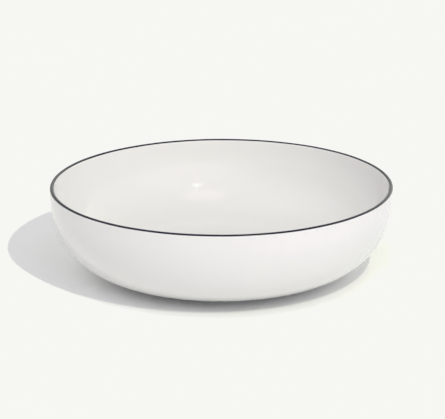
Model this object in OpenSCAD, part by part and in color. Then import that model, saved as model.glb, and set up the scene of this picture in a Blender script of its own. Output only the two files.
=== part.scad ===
// Wide, low porcelain serving bowl with a coloured rim band.
//
// The bowl is one fired porcelain body with a turned foot ring. Thin coats of
// gloss glaze cover it inside, outside and in the well under the foot. A
// coloured band takes the place of the glaze over the lip. The bottom of the
// foot ring stays bare, because a glazed foot would stick to the kiln shelf.
//
// Millimetres, +Z up. The origin is the centre of the foot ring's resting face.
// Every piece is a body of revolution about Z.

/* [Overall] */
// Widest diameter, over the glaze
bowl_d = 292; // [220:1:350]
// Height from the table to the top of the rim
bowl_h = 78; // [60:1:96]

/* [Wall and floor] */
// Thickness of the lip, over the glaze on both sides
lip_t = 3.5; // [2.4:0.1:4.2]
// Thickness of the floor, over the glaze on both sides
floor_t = 4.9; // [4:0.1:9]
// Length of the straight, upright stretch of wall below the rim
straight_h = 8; // [4:0.5:14]
// How far the underside runs out before it turns up, as a share of the way
underside_fullness = 0.70; // [0.5:0.01:0.8]
// How far the wall runs down before it turns in, as a share of the way
wall_fullness = 0.48; // [0.3:0.01:0.65]

/* [Foot ring] */
// Outer diameter of the foot ring
foot_d = 160; // [120:1:195]
// Width of the foot ring
foot_w = 6; // [4.5:0.1:8]
// Height of the foot ring's outer side
foot_h = 4.4; // [3.2:0.1:5.2]
// Depth of the well inside the foot ring
well_depth = 3; // [2.4:0.1:3.6]
// Rounding of the foot ring's two lower edges
foot_edge_r = 1.2; // [0.8:0.1:1.8]
// Rounding where the foot ring meets the underside
foot_root_r = 1.4; // [0.8:0.1:2]

/* [Glaze and band] */
// Thickness of the glaze
glaze_t = 0.3; // [0.2:0.05:0.45]
// How far the band stands proud of the glaze
band_proud = 0.05; // [0.05:0.01:0.12]
// Angle from the top of the lip to the band's inner edge
band_in_angle = 60; // [35:1:80]
// Angle from the top of the lip to the band's outer edge
band_out_angle = 65; // [45:1:85]

/* [Hidden] */

lathe_fn = 180;  // facets that OpenSCAD draws around the bowl
curve_n = 44;  // steps along the side of the bowl
arc_n = 10;  // steps along each rounded edge
glaze_edge_t = 0.4 * glaze_t;  // thickness of the glaze where it stops

PORCELAIN = [0.86, 0.84, 0.80];
GLAZE = [0.95, 0.95, 0.93];
BAND = [0.07, 0.08, 0.13];

// The fired body lies under the coats, so its sizes are the outer ones less them.
body_r = bowl_d / 2 - glaze_t;
body_top = bowl_h - glaze_t - band_proud;
lip_r = lip_t / 2 - glaze_t;
lip_c = [body_r - lip_r, body_top - lip_r];
belly = [body_r, bowl_h - straight_h];
floor_z = well_depth + floor_t - glaze_t;
well_z = well_depth + glaze_t;
underside_z = foot_h + glaze_t;
foot_out = foot_d / 2 - glaze_t;
foot_in = foot_out - foot_w + 2 * glaze_t;
wall_start = [foot_out + foot_root_r, underside_z];
base_t = floor_z - underside_z;

// Points on a cubic curve from a to d, with b and c as its handles.
function bezier(a, b, c, d, n) = [
    for (i = [0:n])
        let (t = i / n, u = 1 - t)
        u*u*u*a + 3*u*u*t*b + 3*u*t*t*c + t*t*t*d
];

// Points on an arc of radius r about c, from angle a0 to angle a1.
function arc(c, r, a0, a1, n = arc_n) = [
    for (i = [0:n])
        let (a = a0 + (a1 - a0) * i / n)
        c + r * [cos(a), sin(a)]
];

function last(p) = p[len(p) - 1];

function reverse(p) = [for (i = [len(p) - 1:-1:0]) p[i]];

// Path p without its first point, to carry on from a path that ends there.
function after_first(p) = [for (i = [1:len(p) - 1]) p[i]];

// Unit vector to the right of the step from a to b.
function right_of(a, b) = [b.y - a.y, a.x - b.x] / norm(b - a);

// Vector to the right of path p at its point i. It is longer than 1 at a bend,
// so that the steps on both sides of the bend move by the full thickness.
function mitre(p, i) =
    let (
        before = right_of(p[max(i - 1, 0)], p[max(i, 1)]),
        after = right_of(p[min(i, len(p) - 2)], p[min(i + 1, len(p) - 1)])
    )
    (before + after) / (1 + before * after);

// Path p moved to the right of its direction by the thickness t[i] at point i.
function shifted(p, t) = [for (i = [0:len(p) - 1]) p[i] + t[i] * mitre(p, i)];

// The same thickness t at every point of p.
function even(p, t) = [for (i = p) t];

// The body's surface, walked from the well's centre out over the foot, up the
// wall, over the lip and back to the floor's centre, so that its right-hand
// side is the outside all the way.
side_path = bezier(
    wall_start,
    wall_start + [underside_fullness * (belly.x - wall_start.x), 0],
    belly - [0, wall_fullness * (belly.y - wall_start.y)],
    belly,
    curve_n
);

// The wall tapers evenly from the floor's thickness at the foot to the lip's.
side_t = [for (i = [0:curve_n]) base_t + (2 * lip_r - base_t) * i / curve_n];
wall_path = concat([[0, underside_z]], side_path, [lip_c + [lip_r, 0]]);
wall_t = concat([base_t], side_t, [2 * lip_r]);
inner_wall_path = reverse(shifted(wall_path, -wall_t));

well_path = concat(
    [[0, well_z]],
    arc([foot_in - foot_root_r, well_z - foot_root_r], foot_root_r, 90, 0)
);
bare_path = concat(
    arc([foot_in + foot_edge_r, foot_edge_r], foot_edge_r, 180, 270),
    arc([foot_out - foot_edge_r, foot_edge_r], foot_edge_r, -90, 0)
);
foot_side_path = arc([foot_out + foot_root_r, underside_z - foot_root_r], foot_root_r, 180, 90);
lip_out_path = arc(lip_c, lip_r, 0, 90 - band_out_angle);
lip_top_path = arc(lip_c, lip_r, 90 - band_out_angle, 90 + band_in_angle, 2 * arc_n);
lip_in_path = arc(lip_c, lip_r, 90 + band_in_angle, 180);

outer_path = concat(foot_side_path, after_first(side_path), lip_out_path);
inner_path = concat(lip_in_path, after_first(inner_wall_path));

// The glaze thins to an edge where it stops at the bare foot.
outer_coat_path = concat([last(bare_path)], outer_path);
outer_coat_t = concat([glaze_edge_t], even(outer_path, glaze_t));
well_coat_path = concat(well_path, [bare_path[0]]);
well_coat_t = concat(even(well_path, glaze_t), [glaze_edge_t]);

// A coat of thickness t[i] over path p, turned about Z.
module coat(p, t) {
    rotate_extrude($fn = lathe_fn)
        polygon(concat(p, reverse(shifted(p, t))));
}

module porcelain_body() {
    color(PORCELAIN)
        rotate_extrude($fn = lathe_fn)
            polygon(concat(
                well_path,
                bare_path,
                outer_path,
                after_first(lip_top_path),
                after_first(inner_path)
            ));
}

module inner_glaze() {
    color(GLAZE)
        coat(inner_path, even(inner_path, glaze_t));
}

module outer_glaze() {
    color(GLAZE)
        coat(outer_coat_path, outer_coat_t);
}

module well_glaze() {
    color(GLAZE)
        coat(well_coat_path, well_coat_t);
}

module rim_band() {
    color(BAND)
        coat(lip_top_path, even(lip_top_path, glaze_t + band_proud));
}

porcelain_body();
inner_glaze();
outer_glaze();
well_glaze();
rim_band();
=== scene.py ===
"""Looks of a wide, low porcelain serving bowl with a coloured band over its lip.

Metres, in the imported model's frame: +Z up, with the origin at the centre of the
foot ring's resting face. Every piece is turned about Z from one drawn section.
Then all of them settle together by the few tenths of a millimetre that a real
bowl moves in the kiln.
"""

import math

import bmesh
import bpy
import numpy as np
from mathutils import Matrix, Vector


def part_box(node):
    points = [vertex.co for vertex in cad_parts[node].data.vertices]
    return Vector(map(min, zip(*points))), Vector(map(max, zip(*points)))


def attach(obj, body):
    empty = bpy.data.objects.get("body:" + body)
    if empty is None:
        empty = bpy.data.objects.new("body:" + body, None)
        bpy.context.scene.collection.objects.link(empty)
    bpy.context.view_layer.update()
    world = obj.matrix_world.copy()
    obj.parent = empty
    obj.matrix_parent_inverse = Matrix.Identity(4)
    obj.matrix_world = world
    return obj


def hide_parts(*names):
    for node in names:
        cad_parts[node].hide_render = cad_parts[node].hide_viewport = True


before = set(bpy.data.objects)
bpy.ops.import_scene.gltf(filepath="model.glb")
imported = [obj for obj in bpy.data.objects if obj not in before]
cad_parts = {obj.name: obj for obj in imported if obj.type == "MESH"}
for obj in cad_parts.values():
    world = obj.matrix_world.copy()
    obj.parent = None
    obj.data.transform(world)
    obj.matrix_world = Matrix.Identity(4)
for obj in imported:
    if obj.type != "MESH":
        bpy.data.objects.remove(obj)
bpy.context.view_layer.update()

MM = 0.001

# Sizes that the frame's boxes give.
BOWL_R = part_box("outer_glaze")[1].x
BOWL_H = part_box("rim_band")[1].z
BODY_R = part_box("porcelain_body")[1].x
BODY_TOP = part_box("porcelain_body")[1].z
GLAZE_T = BOWL_R - BODY_R
BAND_PROUD = BOWL_H - BODY_TOP - GLAZE_T
FLOOR_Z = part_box("inner_glaze")[0].z
WELL_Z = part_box("well_glaze")[1].z
FOOT_EDGE_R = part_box("outer_glaze")[0].z
FOOT_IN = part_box("well_glaze")[1].x

# Sizes that they don't give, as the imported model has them.
LIP_T = 3.5 * MM
STRAIGHT_H = 8 * MM
UNDERSIDE_FULLNESS = 0.70
WALL_FULLNESS = 0.48
FOOT_H = 4.4 * MM
FOOT_W = 6 * MM
FOOT_ROOT_R = 1.4 * MM
BAND_IN_ANGLE = 60
BAND_OUT_ANGLE = 65

# What the kiln, the brush and the sponge did. Angles are in degrees.
RIM_OVAL = 0.15 * MM
RIM_WAVE = 0.12 * MM
BAND_WANDER_DEG = 2.0
BAND_WIDER_DEG = 5
BAND_WIDE_SIDE = 170
GLAZE_LINE_WANDER = 0.2 * MM
GLAZE_POOL = 0.12 * MM
GLAZE_POOL_WIDTH = 1.2 * MM
GLAZE_EDGE_SHARE = 0.4
SPECK_SPACING = 14 * MM
SPECK_STRENGTH = 0.4
RING_PITCH = 6.5 * MM
RELIEF_UNIT = 0.001 * MM
# The depths below the band's top over which its colour goes blue-black: partly thin colour, partly
# a painted sheen.
BAND_CREST_SHEEN = (0.9 * MM, 0.1 * MM)
FOOT_WORN_TO = 0.5 * MM

# How finely the pieces are turned, and the bend in degrees that shades as a corner.
TURN_STEPS = 288
SIDE_STEPS = 72
FLAT_STEPS = 14
STRAIGHT_STEPS = 4
ARC_STEPS = 10
SHARP_ANGLE = 50

# How each surface bends light, and how rough it is at its smoothest and roughest.
GLAZE_IOR = 1.5
GLAZE_ROUGHNESS = (0.045, 0.06)
BAND_IOR = 1.38
BAND_ROUGHNESS = (0.26, 0.36)
BISQUE_IOR = 1.45
BISQUE_ROUGHNESS = (0.55, 0.8)

# Colours, in linear light.
GLAZE_COOL = (0.785, 0.78, 0.76, 1)
GLAZE_WARM = (0.795, 0.785, 0.755, 1)
GLAZE_THICK = (0.72, 0.75, 0.76, 1)
SPECK = (0.25, 0.18, 0.12, 1)
BAND_DEEP = (0.006, 0.006, 0.007, 1)
# Blue-black of the band's crest: partly thin colour, partly a painted sheen of reflected light.
BAND_THIN_SHEEN = (0.016, 0.017, 0.048, 1)
BISQUE_PALE = (0.74, 0.71, 0.65, 1)
BISQUE_WARM = (0.66, 0.61, 0.53, 1)
SCUFF = (0.28, 0.27, 0.26, 1)
FLOOR_COLOUR = (0.965, 0.972, 0.95, 1)

# The studio's floor reaches this far each way.
FLOOR_HALF = 5.0

# Each soft light is a round glow in the sky: its direction from +X towards +Y
# and up from the horizon in degrees, and its strength in the middle.
SKY_GLOWS = {
    "left": (180, 45, (0.98, 0.97, 1.02)),
    "front_left": (225, 45, (0.23, 0.21, 0.34)),
    "front": (270, 45, (0.06, 0.08, 0.04)),
    "front_right": (315, 45, (0.18, 0.15, 0.24)),
    "right_low": (0, 8, (0.34, 0.34, 0.44)),
    "back_right_low": (45, 8, (1.54, 1.51, 1.36)),
    "back_low": (90, 8, (0.60, 0.66, 0.53)),
    "back_left_low": (135, 8, (0.30, 0.31, 0.22)),
    "front_low": (270, 8, (0.76, 0.72, 0.73)),
    "front_right_low": (315, 8, (0.73, 0.76, 0.91)),
}
GLOW_FALLOFF = 4

# The lamp's place and light, and the soft box's direction, given as the glows'
# are, with its distance from the origin, its width and its power in watts.
KEY_PLACE = (0.386, -0.945, 0.989)
KEY_RADIUS = 8 * MM
KEY_POWER = 10
KEY_GAIN = 0.95
KEY_COLOUR = (0.98, 1.0, 0.80)
PANEL_BEARING = (-69, 62)
PANEL_DISTANCE = 2.0
PANEL_WIDTH = 0.85
PANEL_POWER = 1.7

# The white of lit paper in linear light, the shares of it between which colours
# rise to meet it, and the brightness at which glare leaves it and ends.
PAPER_WHITE = (0.922, 0.930, 0.888)
PAPER_KNEE = (0.94, 0.965)
GLARE = (1.5, 4.0)

# The camera's angles are in degrees, and its lens in millimetres.
CAMERA_PLACE = (0.0009, -1.923, 0.643)
CAMERA_PITCH = 17.008
CAMERA_ROLL = -0.18
CAMERA_LENS = 190.1
CAMERA_REACH = 20

LIP_R = LIP_T / 2 - GLAZE_T
LIP_CENTRE = np.array([BODY_R - LIP_R, BODY_TOP - LIP_R])
BELLY = np.array([BODY_R, BOWL_H - STRAIGHT_H])
UNDERSIDE_Z = FOOT_H + GLAZE_T
FOOT_OUT = FOOT_IN + FOOT_W - 2 * GLAZE_T
WALL_START = np.array([FOOT_OUT + FOOT_ROOT_R, UNDERSIDE_Z])
BASE_T = FLOOR_Z - UNDERSIDE_Z


# ---- Drawing a section: paths of (r, z) points ----

def bezier(a, b, c, d, steps):
    """Points on a cubic curve from a to d, with b and c as its handles."""
    t = np.linspace(0, 1, steps + 1)[:, None]
    u = 1 - t
    return u**3 * a + 3 * u**2 * t * b + 3 * u * t**2 * c + t**3 * d


def arc(centre, radius, start, end, steps=ARC_STEPS):
    """Points on an arc about centre, from one angle to another in degrees."""
    angle = np.radians(np.linspace(start, end, steps + 1))
    return np.asarray(centre) + radius * np.c_[np.cos(angle), np.sin(angle)]


def line(start, end, steps):
    """Points from start to end."""
    return np.linspace(start, end, steps + 1)


def joined(*paths):
    """Paths end to end, each of which starts where the one before it ends."""
    return np.concatenate([paths[0]] + [path[1:] for path in paths[1:]])


def shifted(path, thickness):
    """path moved to the right of its direction by a thickness at each point."""
    step = np.diff(path, axis=0)
    step /= np.linalg.norm(step, axis=1)[:, None]
    heading = np.concatenate([step[:1], step]) + np.concatenate([step, step[-1:]])
    heading /= np.linalg.norm(heading, axis=1)[:, None]
    right = np.c_[heading[:, 1], -heading[:, 0]]
    return path + right * np.reshape(thickness, (-1, 1))


def coat(path, thickness):
    """The closed outline of a coat laid on the right-hand side of path."""
    return np.concatenate([path, shifted(path, thickness)[::-1]])


# ---- What varies round the bowl ----

def wander(angle, seed):
    """A smooth wave that closes on itself round the bowl, between -1 and 1."""
    return (
        0.5 * math.sin(3 * angle + 1.7 * seed)
        + 0.3 * math.sin(7 * angle + 2.9 * seed)
        + 0.2 * math.sin(19 * angle + 4.1 * seed)
    )


def band_edges(angle):
    """Where the band stops on the lip, inside and outside, in degrees from +r."""
    drift = BAND_WIDER_DEG * math.cos(angle - math.radians(BAND_WIDE_SIDE))
    inner = 90 + BAND_IN_ANGLE + drift + BAND_WANDER_DEG * wander(angle, 1)
    outer = 90 - BAND_OUT_ANGLE + BAND_WANDER_DEG * wander(angle, 2)
    return inner, outer


def settled(section, angle):
    """Where a section's points lie at that angle, once the bowl is fired."""
    r, z = section[:, 0], section[:, 1]
    share = (z / BOWL_H) ** 2 * (r / BOWL_R)
    r = r + RIM_OVAL * share * math.cos(2 * angle + 0.6)
    z = z + RIM_WAVE * share * wander(angle, 5)
    return np.c_[r * math.cos(angle), r * math.sin(angle), z]


# ---- The fired body's surface, from the well's centre round to the floor's ----

side = bezier(
    WALL_START,
    WALL_START + [UNDERSIDE_FULLNESS * (BELLY[0] - WALL_START[0]), 0],
    BELLY - [0, WALL_FULLNESS * (BELLY[1] - WALL_START[1])],
    BELLY,
    SIDE_STEPS,
)
straight = line(BELLY, LIP_CENTRE + [LIP_R, 0], STRAIGHT_STEPS)
wall = joined(line([0, UNDERSIDE_Z], WALL_START, FLAT_STEPS), side, straight)
wall_t = np.concatenate([
    np.full(FLAT_STEPS, BASE_T),
    np.linspace(BASE_T, 2 * LIP_R, SIDE_STEPS + 1),
    np.full(STRAIGHT_STEPS, 2 * LIP_R),
])
inner_wall = shifted(wall, -wall_t)[::-1]
inner_wall[-1, 0] = 0
well = joined(
    line([0, WELL_Z], [FOOT_IN - FOOT_ROOT_R, WELL_Z], FLAT_STEPS),
    arc([FOOT_IN - FOOT_ROOT_R, WELL_Z - FOOT_ROOT_R], FOOT_ROOT_R, 90, 0),
)
foot_side = arc([WALL_START[0], UNDERSIDE_Z - FOOT_ROOT_R], FOOT_ROOT_R, 180, 90)
foot_face = np.concatenate([
    arc([FOOT_IN + FOOT_EDGE_R, FOOT_EDGE_R], FOOT_EDGE_R, 180, 270),
    arc([FOOT_OUT - FOOT_EDGE_R, FOOT_EDGE_R], FOOT_EDGE_R, -90, 0),
])


def lip(start, end, steps=ARC_STEPS):
    """Part of the lip's round, from one angle to another in degrees from +r."""
    return arc(LIP_CENTRE, LIP_R, start, end, steps)


# ---- The pieces' sections, each at one angle round the bowl ----

def porcelain_section(angle):
    """The fired body."""
    return np.concatenate([
        well,
        foot_face,
        joined(foot_side, side, straight, lip(0, 180, 3 * ARC_STEPS), inner_wall),
    ])


def inner_glaze_section(angle):
    """The coat from the band's inner edge down the wall and over the floor."""
    path = joined(lip(band_edges(angle)[0], 180), inner_wall)
    return coat(path, np.full(len(path), GLAZE_T))


def outer_glaze_section(angle):
    """The coat from the bare foot up to the band. It pools round the foot."""
    stop = [FOOT_OUT, FOOT_EDGE_R + GLAZE_LINE_WANDER * wander(angle, 3)]
    path = joined(
        np.concatenate([[stop], foot_side]),
        side,
        straight,
        lip(0, band_edges(angle)[1]),
    )
    root = FOOT_OUT + FOOT_ROOT_R / 2
    pool = GLAZE_POOL * np.exp(-(((path[:, 0] - root) / GLAZE_POOL_WIDTH) ** 2))
    thickness = GLAZE_T + np.where(path[:, 1] < UNDERSIDE_Z + GLAZE_T, pool, 0)
    thickness[0] = GLAZE_EDGE_SHARE * GLAZE_T
    return coat(path, thickness)


def well_glaze_section(angle):
    """The coat over the well inside the foot ring."""
    stop = [FOOT_IN, FOOT_EDGE_R + GLAZE_LINE_WANDER * wander(angle, 4)]
    path = np.concatenate([well, [stop]])
    thickness = np.full(len(path), GLAZE_T)
    thickness[-1] = GLAZE_EDGE_SHARE * GLAZE_T
    return coat(path, thickness)


def band_section(angle):
    """The coloured band over the lip, drawn in to the glaze at its two edges."""
    inner, outer = band_edges(angle)
    path = lip(outer, inner, 3 * ARC_STEPS)
    swell = np.sin(np.linspace(0, math.pi, len(path))) ** 0.4
    return coat(path, GLAZE_T + BAND_PROUD * swell)


def turn(name, section_at, node, material):
    """A closed smooth piece, whose outline at each angle is section_at(angle)."""
    angles = np.linspace(0, 2 * math.pi, TURN_STEPS, endpoint=False)
    sections = [section_at(angle) for angle in angles]
    on_axis = sections[0][:, 0] < MM / 1000
    bm = bmesh.new()
    rings = [
        [bm.verts.new(point) for point in settled(section, angle)]
        for section, angle in zip(sections, angles)
    ]
    for ring, following in zip(rings, rings[1:] + rings[:1]):
        for i in range(len(ring)):
            if not (on_axis[i - 1] and on_axis[i]):
                bm.faces.new((ring[i - 1], following[i - 1], following[i], ring[i]))
    centre = [ring[i] for ring in rings for i in np.flatnonzero(on_axis)]
    bmesh.ops.remove_doubles(bm, verts=centre, dist=MM / 100)
    bmesh.ops.recalc_face_normals(bm, faces=bm.faces)
    mesh = bpy.data.meshes.new(name)
    bm.to_mesh(mesh)
    bm.free()
    mesh.shade_smooth()
    mesh.set_sharp_from_angle(angle=math.radians(SHARP_ANGLE))
    mesh.materials.append(material)
    piece = bpy.data.objects.new(name, mesh)
    bpy.context.scene.collection.objects.link(piece)
    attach(piece, "root")
    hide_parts(node)


# ---- Materials ----

class Shading:
    """A material's node tree, with short calls for the nodes that it needs."""

    def __init__(self, name):
        self.material = bpy.data.materials.new(name)
        self.material.use_nodes = True
        self.tree = self.material.node_tree
        self.tree.nodes.clear()
        output = self.tree.nodes.new("ShaderNodeOutputMaterial")
        self.shader = self.tree.nodes.new("ShaderNodeBsdfPrincipled")
        self.link(self.shader.outputs["BSDF"], output.inputs["Surface"])
        self.place = self.tree.nodes.new("ShaderNodeTexCoord").outputs["Object"]

    def link(self, source, target):
        """Feeds a socket from another socket, or sets it to a plain value."""
        if isinstance(source, bpy.types.NodeSocket):
            self.tree.links.new(source, target)
        else:
            target.default_value = source

    def math(self, operation, a, b=0.0, c=0.0):
        """One Math node."""
        node = self.tree.nodes.new("ShaderNodeMath")
        node.operation = operation
        for value, socket in zip((a, b, c), node.inputs):
            self.link(value, socket)
        return node.outputs["Value"]

    def split(self, vector):
        """The X, Y and Z of a vector."""
        node = self.tree.nodes.new("ShaderNodeSeparateXYZ")
        self.link(vector, node.inputs["Vector"])
        return node.outputs

    def noise(self, size, detail=2.0, vector=None, roughness=0.5):
        """Noise from 0 to 1, whose blobs are about size metres across."""
        node = self.tree.nodes.new("ShaderNodeTexNoise")
        self.link(self.place if vector is None else vector, node.inputs["Vector"])
        node.inputs["Scale"].default_value = 1 / size
        node.inputs["Detail"].default_value = detail
        node.inputs["Roughness"].default_value = roughness
        return node.outputs["Fac"]

    def ramp(self, value, low, high):
        """value mapped smoothly to 0 at low and 1 at high."""
        node = self.tree.nodes.new("ShaderNodeMapRange")
        node.interpolation_type = "SMOOTHSTEP"
        self.link(value, node.inputs["Value"])
        node.inputs["From Min"].default_value = low
        node.inputs["From Max"].default_value = high
        return node.outputs["Result"]

    def span(self, value, low, high):
        """A value from 0 to 1 stretched to run from low to high."""
        return self.math("MULTIPLY_ADD", value, high - low, low)

    def mix(self, share, a, b):
        """Colour a, with that share of colour b in it."""
        node = self.tree.nodes.new("ShaderNodeMix")
        node.data_type = "RGBA"
        self.link(share, node.inputs["Factor"])
        self.link(a, node.inputs["A"])
        self.link(b, node.inputs["B"])
        return node.outputs["Result"]

    def bump(self, height, depth):
        """Relief on the shader's normal: height from 0 to 1 is depth metres deep."""
        node = self.tree.nodes.new("ShaderNodeBump")
        self.link(self.math("MULTIPLY", height, depth), node.inputs["Height"])
        node.inputs["Distance"].default_value = 1.0
        self.link(node.outputs["Normal"], self.shader.inputs["Normal"])


def glaze_material():
    """Clear gloss over white porcelain: a slightly uneven, faintly rippled skin."""
    s = Shading("white_glaze")
    shader = s.shader
    shader.inputs["IOR"].default_value = GLAZE_IOR

    # The white drifts a little from cool to warm, and greys where glaze is thick.
    drift = s.mix(s.noise(70 * MM), GLAZE_COOL, GLAZE_WARM)
    x, y, z = s.split(s.place)
    low = s.ramp(z, 9 * MM, 3 * MM)
    pooled = s.mix(s.math("MULTIPLY", low, 0.35), drift, GLAZE_THICK)

    # A few iron specks burn through, each a fraction of a millimetre across.
    cells = s.tree.nodes.new("ShaderNodeTexVoronoi")
    s.link(s.place, cells.inputs["Vector"])
    cells.inputs["Scale"].default_value = 1 / SPECK_SPACING
    speck = s.ramp(cells.outputs["Distance"], 0.016, 0.008)
    chosen = s.math("GREATER_THAN", s.split(cells.outputs["Color"])[0], 0.90)
    speck = s.math("MULTIPLY", speck, s.math("MULTIPLY", chosen, SPECK_STRENGTH))
    s.link(s.mix(speck, pooled, SPECK), shader.inputs["Base Color"])

    s.link(s.span(s.noise(30 * MM), *GLAZE_ROUGHNESS), shader.inputs["Roughness"])

    # Relief: orange peel, slow ripples, and the rings left by the turning tool.
    radius = s.math("SQRT", s.math("ADD", s.math("MULTIPLY", x, x), s.math("MULTIPLY", y, y)))
    waved = s.math("ADD", radius, s.math("MULTIPLY", s.noise(50 * MM), 3 * MM))
    rings = s.math("SINE", s.math("MULTIPLY", waved, 2 * math.pi / RING_PITCH))
    peel = s.math("MULTIPLY", s.noise(2.2 * MM, 3), 2.0)
    ripple = s.math("MULTIPLY", s.noise(16 * MM), 8.0)
    relief = s.math("ADD", s.math("ADD", peel, ripple), s.math("MULTIPLY", rings, 0.35))
    s.bump(relief, RELIEF_UNIT)
    return s.material


def band_material():
    """Near-black satin colour, going blue-black along the lip's crest: partly where the colour
    runs thin, partly a painted sheen of reflected light.
    """
    s = Shading("band_colour")
    height = s.split(s.place)["Z"]
    s.shader.inputs["IOR"].default_value = BAND_IOR
    crest_start, crest_end = (BOWL_H - depth for depth in BAND_CREST_SHEEN)
    # Lighter and bluer towards the lip's top: partly the colour thinning there, partly a painted
    # sheen standing in for reflected light.
    crest = s.ramp(height, crest_start, crest_end)
    streaks = s.span(s.noise(5 * MM, 4), -0.25, 0.25)
    mottle = s.span(s.noise(1.1 * MM), -0.15, 0.15)
    thin_and_sheen = s.math("ADD", crest, s.math("ADD", streaks, mottle))
    body = s.mix(s.ramp(thin_and_sheen, 0.1, 1.1), BAND_DEEP, BAND_THIN_SHEEN)
    s.link(body, s.shader.inputs["Base Color"])
    s.link(s.span(s.noise(6 * MM), *BAND_ROUGHNESS), s.shader.inputs["Roughness"])
    s.bump(s.noise(1.6 * MM, 2), 0.004 * MM)
    return s.material


def bisque_material():
    """Bare fired porcelain: matt, finely grained, scuffed grey where it stands."""
    s = Shading("bare_porcelain")
    height = s.split(s.place)["Z"]
    s.shader.inputs["IOR"].default_value = BISQUE_IOR
    clay = s.mix(s.noise(12 * MM, 3), BISQUE_PALE, BISQUE_WARM)
    grain = s.noise(0.5 * MM, 3)
    lowest = s.ramp(height, FOOT_WORN_TO, 0.0)
    blotches = s.ramp(s.noise(4 * MM, 5, roughness=0.7), 0.45, 0.7)
    worn = s.math("MULTIPLY", lowest, blotches)
    s.link(s.mix(s.math("MULTIPLY", worn, 0.6), clay, SCUFF), s.shader.inputs["Base Color"])
    s.link(s.span(grain, *BISQUE_ROUGHNESS), s.shader.inputs["Roughness"])
    s.bump(grain, 0.03 * MM)
    return s.material


def floor_material():
    """Plain pale paper under the bowl."""
    s = Shading("pale_floor")
    s.link(FLOOR_COLOUR, s.shader.inputs["Base Color"])
    s.shader.inputs["Roughness"].default_value = 0.95
    s.shader.inputs["Specular IOR Level"].default_value = 0.0
    return s.material


# ---- Floor, light and camera ----

def make_floor():
    """A pale sheet that fills the camera's view."""
    mesh = bpy.data.meshes.new("floor")
    corners = [(-1, -1), (1, -1), (1, 1), (-1, 1)]
    mesh.from_pydata([(FLOOR_HALF * x, FLOOR_HALF * y, 0) for x, y in corners], [], [(0, 1, 2, 3)])
    mesh.materials.append(floor_material())
    floor = bpy.data.objects.new("floor", mesh)
    bpy.context.scene.collection.objects.link(floor)


def bearing(azimuth, elevation):
    """The unit vector from +X towards +Y and up from the horizon, in degrees."""
    around, up = math.radians(azimuth), math.radians(elevation)
    return Vector((
        math.cos(around) * math.cos(up),
        math.sin(around) * math.cos(up),
        math.sin(up),
    ))


def make_sky():
    """Soft light from all round: the studio's glows, added up."""
    world = bpy.data.worlds.new("studio")
    world.use_nodes = True
    tree = world.node_tree
    tree.nodes.clear()
    output = tree.nodes.new("ShaderNodeOutputWorld")
    background = tree.nodes.new("ShaderNodeBackground")
    tree.links.new(background.outputs["Background"], output.inputs["Surface"])
    direction = tree.nodes.new("ShaderNodeTexCoord").outputs["Generated"]
    total = None
    for azimuth, elevation, strength in SKY_GLOWS.values():
        facing = tree.nodes.new("ShaderNodeVectorMath")
        facing.operation = "DOT_PRODUCT"
        tree.links.new(direction, facing.inputs[0])
        facing.inputs[1].default_value = bearing(azimuth, elevation)
        lit_side = tree.nodes.new("ShaderNodeMath")
        lit_side.operation = "MAXIMUM"
        lit_side.inputs[1].default_value = 0
        tree.links.new(facing.outputs["Value"], lit_side.inputs[0])
        glow = tree.nodes.new("ShaderNodeMath")
        glow.operation = "POWER"
        glow.inputs[1].default_value = GLOW_FALLOFF
        tree.links.new(lit_side.outputs["Value"], glow.inputs[0])
        added = tree.nodes.new("ShaderNodeVectorMath")
        added.operation = "MULTIPLY_ADD"
        tree.links.new(glow.outputs["Value"], added.inputs[0])
        added.inputs[1].default_value = strength
        if total is not None:
            tree.links.new(total, added.inputs[2])
        total = added.outputs["Vector"]
    tree.links.new(total, background.inputs["Color"])
    bpy.context.scene.world = world


def make_key():
    """A small lamp, at the place that throws the bowl's shadow to the back left.

    Its light doesn't fall off with distance, and grows with it in step with the
    slant at which it meets the floor, so that the floor is lit evenly.
    """
    light = bpy.data.lights.new("key", "POINT")
    light.shadow_soft_size = KEY_RADIUS
    light.energy = KEY_POWER
    light.color = KEY_COLOUR
    light.use_nodes = True
    tree = light.node_tree
    emission = tree.nodes["Emission"]
    falloff = tree.nodes.new("ShaderNodeLightFalloff")
    falloff.inputs["Strength"].default_value = KEY_GAIN
    path = tree.nodes.new("ShaderNodeLightPath")
    gain = tree.nodes.new("ShaderNodeMath")
    gain.operation = "MULTIPLY"
    tree.links.new(falloff.outputs["Constant"], gain.inputs[0])
    tree.links.new(path.outputs["Ray Length"], gain.inputs[1])
    tree.links.new(gain.outputs["Value"], emission.inputs["Strength"])
    lamp = bpy.data.objects.new("key", light)
    lamp.location = KEY_PLACE
    bpy.context.scene.collection.objects.link(lamp)


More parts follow.
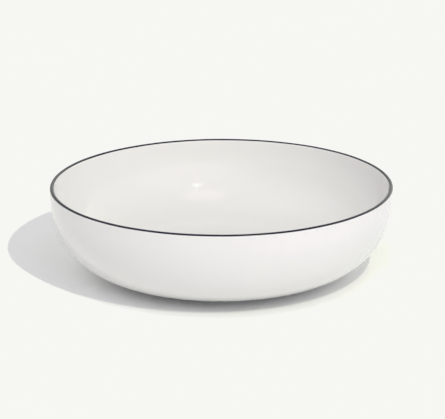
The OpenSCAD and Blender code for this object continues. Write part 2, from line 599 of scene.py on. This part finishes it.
def make_panel():
    """A dim round soft box overhead, which shows in the inner wall's gloss."""
    light = bpy.data.lights.new("panel", "AREA")
    light.shape = "DISK"
    light.size = PANEL_WIDTH
    light.energy = PANEL_POWER
    lamp = bpy.data.objects.new("panel", light)
    place = PANEL_DISTANCE * bearing(*PANEL_BEARING)
    facing = place.to_track_quat("Z", "Y").to_matrix().to_4x4()
    lamp.matrix_world = Matrix.Translation(place) @ facing
    bpy.context.scene.collection.objects.link(lamp)


def make_camera():
    """A long lens that looks down on the bowl from the front."""
    data = bpy.data.cameras.new("camera")
    data.lens = CAMERA_LENS
    data.clip_end = CAMERA_REACH
    camera = bpy.data.objects.new("camera", data)
    tilt = Matrix.Rotation(math.radians(90 - CAMERA_PITCH), 4, "X")
    roll = Matrix.Rotation(math.radians(CAMERA_ROLL), 4, "Z")
    camera.matrix_world = Matrix.Translation(CAMERA_PLACE) @ tilt @ roll
    bpy.context.scene.collection.objects.link(camera)
    bpy.context.scene.camera = camera


def make_tone():
    """Plain colours up to the white of lit paper, and full white only in glare."""
    view = bpy.context.scene.view_settings
    view.view_transform = "Standard"
    view.use_curve_mapping = True
    mapping = view.curve_mapping
    mapping.extend = "HORIZONTAL"
    mapping.clip_max_x = GLARE[1]
    for curve, white in zip(mapping.curves, PAPER_WHITE):
        knee_start, knee_end = (share * white for share in PAPER_KNEE)
        curve.points[1].location = (GLARE[1], 1)
        curve.points.new(knee_start, knee_start)
        curve.points.new(knee_end, white)
        curve.points.new(GLARE[0], white)
        for point in curve.points:
            point.handle_type = "VECTOR"
    mapping.update()


glaze = glaze_material()
turn("bowl_body", porcelain_section, "porcelain_body", bisque_material())
turn("bowl_inner_glaze", inner_glaze_section, "inner_glaze", glaze)
turn("bowl_outer_glaze", outer_glaze_section, "outer_glaze", glaze)
turn("bowl_well_glaze", well_glaze_section, "well_glaze", glaze)
turn("bowl_rim_band", band_section, "rim_band", band_material())

make_floor()
make_sky()
make_key()
make_panel()
make_camera()
make_tone()
